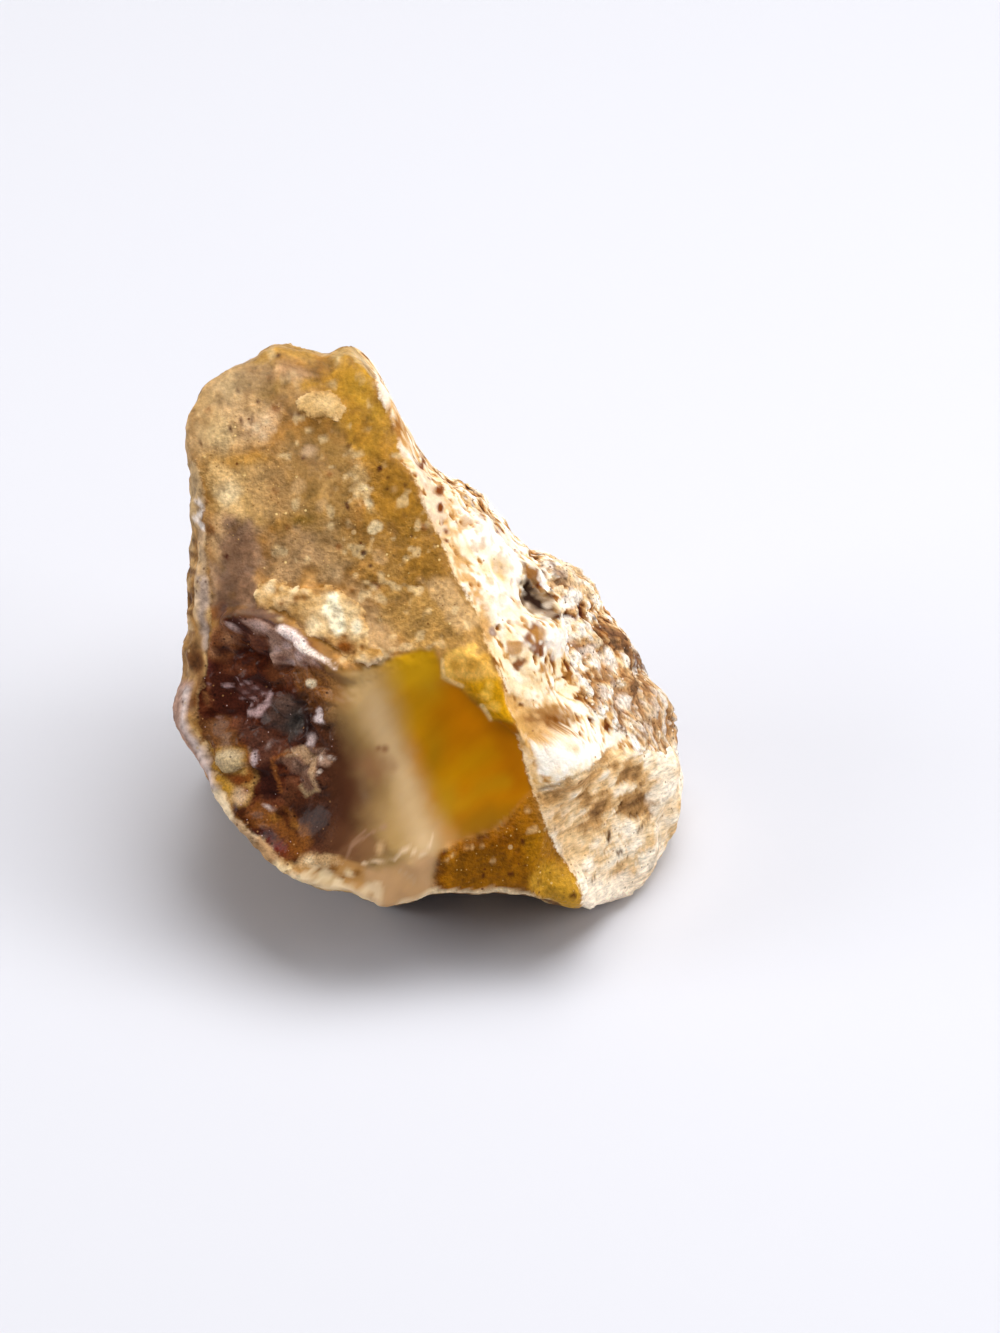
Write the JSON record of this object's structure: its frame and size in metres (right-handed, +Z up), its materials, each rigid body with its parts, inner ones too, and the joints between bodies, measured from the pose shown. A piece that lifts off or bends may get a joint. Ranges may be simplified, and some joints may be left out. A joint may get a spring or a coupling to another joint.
{
  "type": "opalized petrified wood specimen",
  "caption": "Broken wedge of opalized petrified wood with an amber window, a dark glassy hollow, white rind and ropey bark.",
  "frame": {"origin": "middle of the stone's box, at the flat foot that it rests on", "axes": "+Z up, -Y towards the side that the broken face looks to, +X across the broken face towards the bark"},
  "size_m": [0.0514, 0.0466, 0.0486],
  "materials": {
    "opalized_wood": "waxy to glassy broken opal with a matte rind and bark"
  },
  "bodies": {
    "root": {"opalized_wood": "opalized_wood"}
  },
  "joints": []
}
